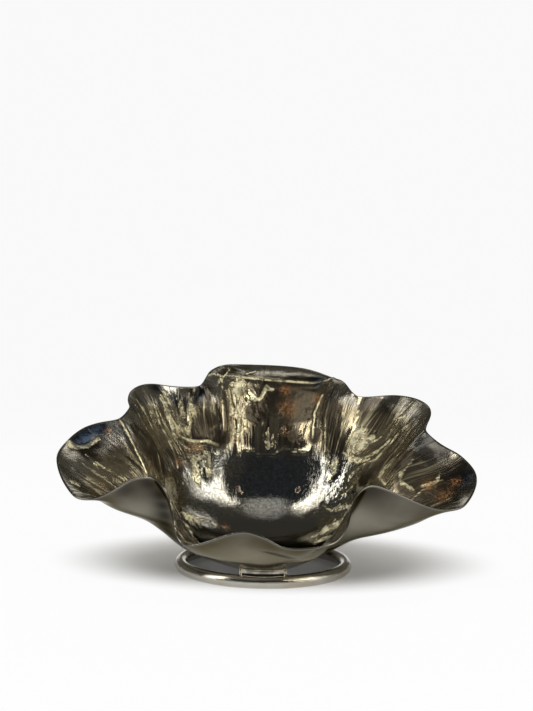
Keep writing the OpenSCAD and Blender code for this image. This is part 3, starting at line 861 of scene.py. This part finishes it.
class BowlSizes(bpy.types.PropertyGroup):
    """Sizes of the bowl, its foot ring and the solder"""

    bowl_reach: length_setting("Reach", "Usual reach of the lobes from the middle", 0.1)
    bowl_height: length_setting("Height", "Height of the back lobe over the table", 0.092)
    sheet_t: length_setting("Sheet", "Thickness of the raised sheet", 0.001)
    ring_r: length_setting("Ring radius", "Radius of the foot ring to the middle of its wire", 0.041)
    ring_top: length_setting("Ring top", "Height of the top of the foot ring", 0.0062)
    wire_d: length_setting("Wire", "Diameter of the ring's round wire", 0.0064)
    front_seam: length_setting("Front seam", "Length of the front solder seam", 0.023)
    rear_seam: length_setting("Rear seam", "Length of the rear solder seam", 0.027)
    seam_head: length_setting("Seam head", "Half width of a seam under the bowl", 0.0022)
    seam_hollow: share_setting("Seam hollow", "How much narrower a seam is half way up", 0.45)
    seam_sink: length_setting("Seam sink", "How far the solder wets into the wire and the sheet", 0.00008)
    bead: share_setting("Beads", "Extra share of width in the bead at each end", 0.35)
    dent_depth: length_setting("Dents", "Depth of the hammer's round dents inside", 0.00026)
    stroke_depth: length_setting("Strokes", "Depth of the long strokes on the walls", 0.00026)
    under_depth: length_setting("Underside", "Depth of the soft waves left under the bowl", 0.00006)
    round_soft: FloatProperty(
        name="Softness round", description="Degrees over which the form is smoothed", default=0.8)
    way_soft: share_setting("Softness out", "Share of the way out over which it is smoothed", 0.011)
    trim: share_setting("Trim", "Share of its reach that the finished rim is trimmed by", 0.0013)


class SilverFinish(bpy.types.PropertyGroup):
    """Colours and polish of the silver, the wire and the solder"""

    silver: colour_setting("Silver", "the polished well", (0.36, 0.36, 0.33))
    lip: colour_setting("Lips", "the lips, kept bright by hands", (0.5, 0.48, 0.43))
    satin: colour_setting("Satin", "the silver between the scratches of the well", (0.17, 0.165, 0.145))
    well_bottom: colour_setting("Well bottom", "the well's bottom, dark with use", (0.17, 0.172, 0.172))
    warm_silver: colour_setting("Warm silver", "the aged walls", (0.31, 0.262, 0.17))
    # Painted highlight on the crests, partly real wear from rubbing
    rubbed_and_highlight: colour_setting("Rubbed silver", "the crests, rubbed bright", (0.95, 0.86, 0.54))
    # The brightest core of the painted highlights
    highlight_core: colour_setting("Struck silver", "the scraper's brightest strokes", (1.0, 0.93, 0.66))
    # Brown patina in the hollows, also used as painted shade in the dark patches inside and towards the rim
    # under the bowl
    tarnish_and_shade: colour_setting("Tarnish", "the brown tarnish in the hollows", (0.036, 0.028, 0.02))
    # Painted shade under the bowl
    under_shade: colour_setting("Soot", "the darkest tarnish under the bowl", (0.014, 0.012, 0.011))
    # Painted dark blue reflection on the lips
    blue: colour_setting("Blue", "the blue tarnish on the lips", (0.018, 0.026, 0.038))
    fire: colour_setting("Fire stain", "the stains from the fire", (0.64, 0.3, 0.1))
    underside: colour_setting("Underside", "the underside", (0.265, 0.25, 0.203))
    underside_worn: colour_setting("Worn underside", "the worn underside", (0.2, 0.187, 0.148))
    grazing: colour_setting("Grazing", "what the silver reflects at a grazing view", (0.5, 0.48, 0.42))
    edge: colour_setting("Edge", "the rim's edge", (0.15, 0.142, 0.12))
    ring: colour_setting("Ring", "the foot ring", (0.46, 0.44, 0.39))
    ring_worn: colour_setting("Worn ring", "the worn wire", (0.4, 0.36, 0.28))
    solder: colour_setting("Solder", "the solder", (0.2, 0.185, 0.15))
    roughness: share_setting("Roughness", "Roughness inside the bowl", 0.05)
    patina: share_setting("Patina", "Share of the aged walls that is dull patina", 0.18)
    wall_roughness: share_setting("Wall roughness", "How much rougher the aged walls are", 0.03)
    ring_roughness: share_setting("Ring roughness", "Roughness of the foot ring", 0.08)


class StageLook(bpy.types.PropertyGroup):
    """Paper, lamps, room and lens"""

    table: colour_setting("Table", "the paper on the table", (0.93, 0.93, 0.93))
    paper_front: colour_setting("Near paper", "the paper in front of the bowl", (1, 1, 1))
    paper_white: colour_setting("Far paper", "the paper away from the bowl", (0.95, 0.95, 0.95))
    room: colour_setting("Room", "the light from the dim room", (0.125, 0.12, 0.105))
    dark_end: colour_setting("Dark end", "the light from the dark end of the room", (0.05, 0.055, 0.065))
    lamp: FloatProperty(name="Lamps", description="Brightness of the soft lamps", default=2.7)
    lens: FloatProperty(name="Lens", description="Focal length of the camera in millimetres", default=90.53)


class SILVERBOWL_OT_bowl(bpy.types.Operator):
    """Raises the ruffled bowl from its sheet"""

    bl_idname = "silverbowl.raise_bowl"
    bl_label = "Raise Bowl"

    def execute(self, context):
        rings, caps, marks = raised_sheet(context.scene.bowl_sizes)
        piece = ring_mesh("ruffled_bowl", rings, caps)
        for name, values in marks.items():
            keep_values(piece, name, values)
        piece.data.materials.append(bowl_silver(context.scene.silver_finish))
        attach(piece, BODY)
        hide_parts("bowl_shell")
        return {"FINISHED"}


class SILVERBOWL_OT_ring(bpy.types.Operator):
    """Bends the foot ring from round wire"""

    bl_idname = "silverbowl.bend_ring"
    bl_label = "Bend Foot Ring"

    def execute(self, context):
        rings, around = bent_ring(context.scene.bowl_sizes)
        piece = ring_mesh("wire_foot_ring", rings)
        keep_values(piece, "turn_way", around)
        piece.data.materials.append(ring_silver(context.scene.silver_finish))
        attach(piece, BODY)
        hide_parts("foot_ring")
        return {"FINISHED"}


class SILVERBOWL_OT_solder(bpy.types.Operator):
    """Flows both solder seams between the ring and the bowl"""

    bl_idname = "silverbowl.flow_solder"
    bl_label = "Flow Solder"

    def execute(self, context):
        bowl = context.scene.bowl_sizes
        look = solder(context.scene.silver_finish)
        for name, direction, length in (("front", 270, bowl.front_seam), ("rear", 90, bowl.rear_seam)):
            rings, caps = solder_bridge(bowl, direction, length)
            piece = ring_mesh(name + "_solder_bridge", rings, caps)
            piece.data.materials.append(look)
            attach(piece, BODY)
            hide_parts(name + "_solder_seam")
        return {"FINISHED"}


def soft_lamp(name, azimuth, height, distance, width, tall, radiance, colour):
    """An oblong lamp that looks at the bowl. Azimuth is 0 over the camera and 90 on the right. Its power is
    its brightness times pi times its area."""
    turn, rise = np.radians((azimuth, height))
    aim = Vector(LAMPS_AIM)
    level = np.cos(rise)
    spot = aim + distance * Vector((np.sin(turn) * level, -np.cos(turn) * level, np.sin(rise)))
    data = bpy.data.lights.new(name, "AREA")
    data.shape = "RECTANGLE"
    data.size, data.size_y = width, tall
    data.energy = radiance * np.pi * width * tall
    data.color = colour
    lamp = bpy.data.objects.new(name, data)
    lamp.location = spot
    lamp.rotation_euler = (spot - aim).to_track_quat("Z", "Y").to_euler()
    lamp.visible_camera = False
    bpy.context.scene.collection.objects.link(lamp)


def pale_paper(look):
    """Matt white paper. Far from the bowl, where the lamps fade, what the camera and the metal see of it is
    plain white. Near the bowl it is lit by the lamps alone, so that it keeps the shadow."""
    material, start = new_material("pale_paper")
    place = start.node("ShaderNodeTexCoord", {}, {}, "Object")
    reach = place.vector_maths("LENGTH", output="Value")
    oval = place.vector_maths("SUBTRACT", SHADOW_MIDDLE).vector_maths("MULTIPLY", SHADOW_SHAPE)
    oval = oval.vector_maths("LENGTH", output="Value")
    plainness = 0.04 + oval.smooth(*SHADOW_FADE) * 0.92 + reach.smooth(*FAR_FADE) * 0.05
    seen = start.node("ShaderNodeLightPath", {}, {}, "Is Camera Ray")
    for ray in ("Is Glossy Ray", "Is Transmission Ray"):
        seen = seen.most(start.node("ShaderNodeLightPath", {}, {}, ray))
    lit = start.node("ShaderNodeBsdfDiffuse", {}, {"Color": look.table})
    paper = place.parts()[1].smooth(*BACK_FADE).mix(look.paper_front, look.paper_white)
    plain = start.node("ShaderNodeEmission", {}, {"Color": paper})
    out = start.node("ShaderNodeMixShader", {}, {0: plainness * seen, 1: lit, 2: plain})
    out.into(start.tree.nodes.new("ShaderNodeOutputMaterial"), "Surface")
    return material


class SILVERBOWL_OT_stage(bpy.types.Operator):
    """Sets the pale table, the soft lamps, the dim room and the camera"""

    bl_idname = "silverbowl.set_stage"
    bl_label = "Set Stage"

    def execute(self, context):
        look = context.scene.stage_look
        table = ring_mesh("pale_table", paper_form(), np.array([[0, 0, -PAPER_DROP]]))
        table.data.materials.append(pale_paper(look))
        for *lamp, share, colour in LAMPS:
            soft_lamp(*lamp, look.lamp * share, colour)
        world = bpy.data.worlds.new("dim_room")
        world.use_nodes = True
        start = Wire(world.node_tree)
        way = start.node("ShaderNodeTexCoord", {}, {}, "Generated")
        dark = way.vector_maths("DOT_PRODUCT", DARK_END, output="Value").smooth(*DARK_FADE)
        dark.mix(look.room, look.dark_end).into(world.node_tree.nodes["Background"], "Color")
        context.scene.world = world
        data = bpy.data.cameras.new("photo_camera")
        data.lens = look.lens
        camera = bpy.data.objects.new("photo_camera", data)
        pitch = Matrix.Rotation(np.radians(90 - CAMERA_DOWN), 4, "X")
        roll = Matrix.Rotation(np.radians(CAMERA_ROLL), 4, "Z")
        camera.matrix_world = Matrix.Translation(CAMERA_PLACE) @ pitch @ roll
        context.scene.collection.objects.link(camera)
        context.scene.camera = camera
        context.scene.view_settings.view_transform = "Standard"
        return {"FINISHED"}


class SILVERBOWL_PT_panel(bpy.types.Panel):
    """Lists the settings and the operators"""

    bl_label = "Silver Bowl"
    bl_idname = "SILVERBOWL_PT_panel"
    bl_space_type = "VIEW_3D"
    bl_region_type = "UI"
    bl_category = "Silver Bowl"

    def draw(self, context):
        for group in ("bowl_sizes", "silver_finish", "stage_look"):
            box = self.layout.box()
            settings = getattr(context.scene, group)
            for name in settings.__annotations__:
                box.prop(settings, name)
        for operator in OPERATORS:
            self.layout.operator(operator.bl_idname)


OPERATORS = (SILVERBOWL_OT_bowl, SILVERBOWL_OT_ring, SILVERBOWL_OT_solder, SILVERBOWL_OT_stage)
CLASSES = (BowlSizes, SilverFinish, StageLook, *OPERATORS, SILVERBOWL_PT_panel)


def register():
    """Makes the classes and their settings known to Blender."""
    for cls in CLASSES:
        bpy.utils.register_class(cls)
    bpy.types.Scene.bowl_sizes = PointerProperty(type=BowlSizes)
    bpy.types.Scene.silver_finish = PointerProperty(type=SilverFinish)
    bpy.types.Scene.stage_look = PointerProperty(type=StageLook)


def unregister():
    """Takes the settings and the classes away again."""
    del bpy.types.Scene.bowl_sizes, bpy.types.Scene.silver_finish, bpy.types.Scene.stage_look
    for cls in reversed(CLASSES):
        bpy.utils.unregister_class(cls)


def main():
    """Makes the pieces and the stage."""
    register()
    bpy.ops.silverbowl.raise_bowl()
    bpy.ops.silverbowl.bend_ring()
    bpy.ops.silverbowl.flow_solder()
    bpy.ops.silverbowl.set_stage()


if __name__ == "__main__":
    main()
